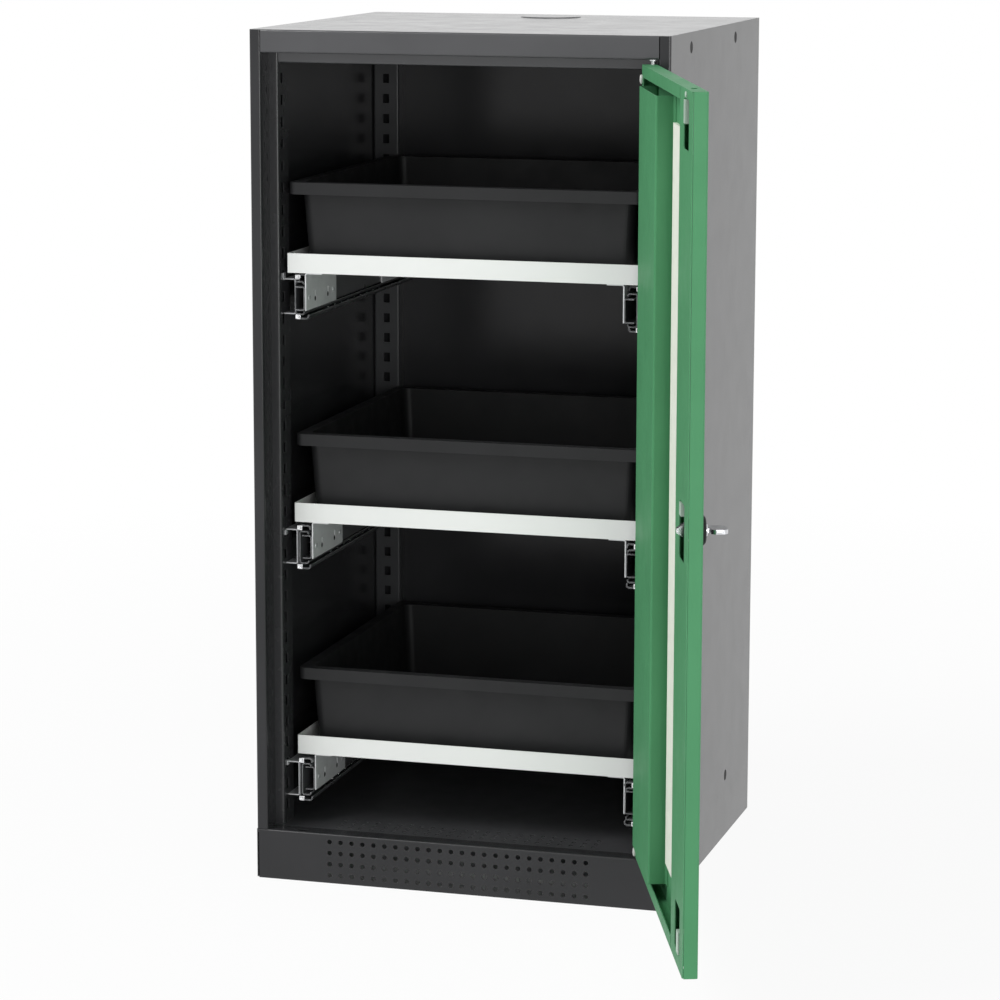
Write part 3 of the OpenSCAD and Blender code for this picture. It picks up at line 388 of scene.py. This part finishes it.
def hanger_places(level, shares, height, inset):
    """Places on a level's hangers, at shares of a hanger's length, facing inwards."""
    low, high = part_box(f"runner_hangers_{level}")
    places = []
    for start in (low[1], high[1] - HANGER_L):
        for share in shares:
            for side in (-1, 1):
                spot = Matrix.Translation((side * (high[0] - inset), start + share * HANGER_L, height))
                places.append(spot @ Matrix.Rotation(-side * math.pi / 2, 4, "Y"))
    return places


def hanger_rivets():
    """Rivets that hold the hanger plates to the inner runner members."""
    rivet = button(**RIVET)
    for level in LEVELS:
        low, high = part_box(f"inner_members_{level}")
        places = hanger_places(level, RIVETS, (low[2] + high[2]) / 2, HANGER_T)
        set_out(rivet, places, f"hanger_rivets_{level}", f"{level}_drawer", "zinc_steel")
    put_away(rivet)


def hanger_screws():
    """Screws behind the hangers' keyholes, on the inner runner members, in a near-black that is painted
    shade and makes the keyholes read dark.
    """
    screw = button(**SCREW)
    for level in LEVELS:
        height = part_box(f"inner_members_{level}")[0][2] + KEYHOLE_UP
        places = hanger_places(level, KEYHOLES, height, 0)
        set_out(screw, places, f"hanger_screws_{level}", f"{level}_drawer", "zinc_steel", KEYHOLE_SHADE_BLACK)
    put_away(screw)


def runner_stops():
    """Steel end stops on the front ends of the outer members, over and under the sliding members."""
    block = stop_block(**STOP)
    out_x = STOP_INSET + STOP["wide"] / 2
    out_z = STOP_INSET + STOP["tall"] / 2
    for level in LEVELS:
        low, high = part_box(f"outer_members_{level}")
        y = low[1] - STOP["deep"] / 2
        places = []
        for side in (-1, 1):
            for z in (low[2] + out_z, high[2] - out_z):
                places.append(Matrix.Translation((side * (high[0] - out_x), y, z)))
        set_out(block, places, f"runner_stops_{level}", "cabinet", "zinc_steel", STOP_STEEL)
    put_away(block)


def door_buffers():
    """Two oval buffers on the lip beside the hinge pins, and the round plug over the upper window."""
    oval = button(**BUFFER)
    places = [door_place(BUFFER_ALONG, DOOR_BACK, height) for height in BUFFER_HEIGHTS]
    set_out(oval, places, "hinge_buffers", "door", "pale_plastic", NYLON)
    put_away(oval)
    plug = button(**PLUG)
    set_out(plug, [door_place(PLUG_ALONG, DOOR_BACK, PLUG_HEIGHT)], "profile_plug", "door", "pale_plastic")
    put_away(plug)


hanger_rivets()
hanger_screws()
runner_stops()
door_buffers()

# ------------------------------------------------------------------ studio

HALF_WIDTH = 0.2710  # of the ground inside the plinth, which stays dark
HALF_DEPTH = 0.2580
NEAR_WHITE = 0.93  # share of plain white in what the camera sees of the floor, near the cabinet
FAR_WHITE = 1.0  # and far from it
FLOOR_WIDTH = 24
FLOOR_DROP = 0.0005  # the floor lies this far under the cabinet
NEAR_REACH = 0.8  # metres from the middle at which the share begins to rise
FAR_REACH = 2.6  # and at which it is full

AIM = (0, 0, 0.6)  # the point that the lamps face
LAMPS = {  # place, width and power in watts
    "key": ((-3.0, -2.4, 4.3), 2.8, 180),
    "side": ((4.0, -2.3, 0.95), 1.8, 36),
    "front": ((2.3, -4.6, 0.95), 1.8, 66),
}
FILL = 0.36

CAMERA_PLACE = (1.2727, -4.4924, 1.3255)
CAMERA_YAW = 0.2796
CAMERA_PITCH = -0.1808
CAMERA_ROLL = 0.0023
SENSOR_WIDTH = 36
LENS = 127.73


def maths(tree, operation, first, second=None):
    """One arithmetic node on sockets or numbers."""
    node = tree.nodes.new("ShaderNodeMath")
    node.operation = operation
    for socket, value in zip(node.inputs, (first, second)):
        if value is None:
            continue
        if hasattr(value, "is_linked"):
            tree.links.new(value, socket)
        else:
            socket.default_value = value
    return node.outputs[0]


def studio_floor():
    """A wide pale floor that reads white to the camera and keeps the shadow."""
    bpy.ops.mesh.primitive_plane_add(size=FLOOR_WIDTH, location=(0, 0, -FLOOR_DROP))
    floor = bpy.context.object
    floor.name = "studio_floor"
    mat = bpy.data.materials.new("studio_floor")
    mat.use_nodes = True
    tree = mat.node_tree
    tree.nodes.clear()
    out = tree.nodes.new("ShaderNodeOutputMaterial")
    matte = tree.nodes.new("ShaderNodeBsdfDiffuse")
    matte.inputs["Color"].default_value = (0.86, 0.86, 0.86, 1)
    glow = tree.nodes.new("ShaderNodeEmission")
    glow.inputs["Color"].default_value = (1, 1, 1, 1)
    glow.inputs["Strength"].default_value = 1.0
    seen = tree.nodes.new("ShaderNodeMixShader")
    path = tree.nodes.new("ShaderNodeLightPath")
    factor = maths(tree, "MAXIMUM", path.outputs["Is Camera Ray"], path.outputs["Is Glossy Ray"])
    where = tree.nodes.new("ShaderNodeTexCoord")
    place = tree.nodes.new("ShaderNodeSeparateXYZ")
    tree.links.new(where.outputs["Object"], place.inputs["Vector"])
    apart = tree.nodes.new("ShaderNodeVectorMath")
    apart.operation = "LENGTH"
    tree.links.new(where.outputs["Object"], apart.inputs[0])
    share = spread(tree, apart.outputs["Value"], NEAR_WHITE, FAR_WHITE, NEAR_REACH, FAR_REACH)
    factor = maths(tree, "MULTIPLY", factor, share)
    for axis, reach in (("X", HALF_WIDTH), ("Y", HALF_DEPTH)):
        across = maths(tree, "ABSOLUTE", place.outputs[axis])
        outside = maths(tree, "GREATER_THAN", across, reach)
        under = outside if axis == "X" else maths(tree, "MAXIMUM", under, outside)
    factor = maths(tree, "MULTIPLY", factor, under)
    tree.links.new(factor, seen.inputs["Fac"])
    tree.links.new(matte.outputs[0], seen.inputs[1])
    tree.links.new(glow.outputs[0], seen.inputs[2])
    tree.links.new(seen.outputs[0], out.inputs["Surface"])
    floor.data.materials.append(mat)
    return floor


def studio_world():
    """White to camera, glossy and transmission rays, and a plain level of fill for the rest."""
    world = bpy.data.worlds.new("studio")
    bpy.context.scene.world = world
    world.use_nodes = True
    tree = world.node_tree
    tree.nodes.clear()
    out = tree.nodes.new("ShaderNodeOutputWorld")
    white = tree.nodes.new("ShaderNodeBackground")
    fill = tree.nodes.new("ShaderNodeBackground")
    white.inputs["Color"].default_value = (1, 1, 1, 1)
    white.inputs["Strength"].default_value = 1.0
    fill.inputs["Color"].default_value = (0.96, 0.98, 1, 1)
    fill.inputs["Strength"].default_value = FILL
    path = tree.nodes.new("ShaderNodeLightPath")
    factor = path.outputs["Is Camera Ray"]
    for ray in ("Is Glossy Ray", "Is Transmission Ray"):
        factor = maths(tree, "MAXIMUM", factor, path.outputs[ray])
    mix = tree.nodes.new("ShaderNodeMixShader")
    tree.links.new(factor, mix.inputs["Fac"])
    tree.links.new(fill.outputs[0], mix.inputs[1])
    tree.links.new(white.outputs[0], mix.inputs[2])
    tree.links.new(mix.outputs[0], out.inputs["Surface"])


def softbox(name, place, size, power):
    """A soft square lamp that faces the cabinet."""
    data = bpy.data.lights.new(name, "AREA")
    data.shape = "SQUARE"
    data.size = size
    data.energy = power
    lamp = bpy.data.objects.new(name, data)
    lamp.location = place
    lamp.rotation_euler = (Vector(AIM) - Vector(place)).to_track_quat("-Z", "Y").to_euler()
    bpy.context.scene.collection.objects.link(lamp)


def studio_camera():
    """The camera where the picture was taken from."""
    level = math.cos(CAMERA_PITCH)
    forward = Vector((-math.sin(CAMERA_YAW) * level, math.cos(CAMERA_YAW) * level, math.sin(CAMERA_PITCH)))
    data = bpy.data.cameras.new("studio_camera")
    data.sensor_width = SENSOR_WIDTH
    data.lens = LENS
    data.clip_end = 60
    camera = bpy.data.objects.new("studio_camera", data)
    turn = forward.to_track_quat("-Z", "Y").to_matrix().to_4x4() @ Matrix.Rotation(CAMERA_ROLL, 4, "Z")
    camera.matrix_world = Matrix.Translation(CAMERA_PLACE) @ turn
    bpy.context.scene.collection.objects.link(camera)
    bpy.context.scene.camera = camera


studio_floor()
studio_world()
for lamp_name, settings in LAMPS.items():
    softbox(lamp_name, *settings)
studio_camera()
bpy.context.scene.view_settings.view_transform = "Standard"
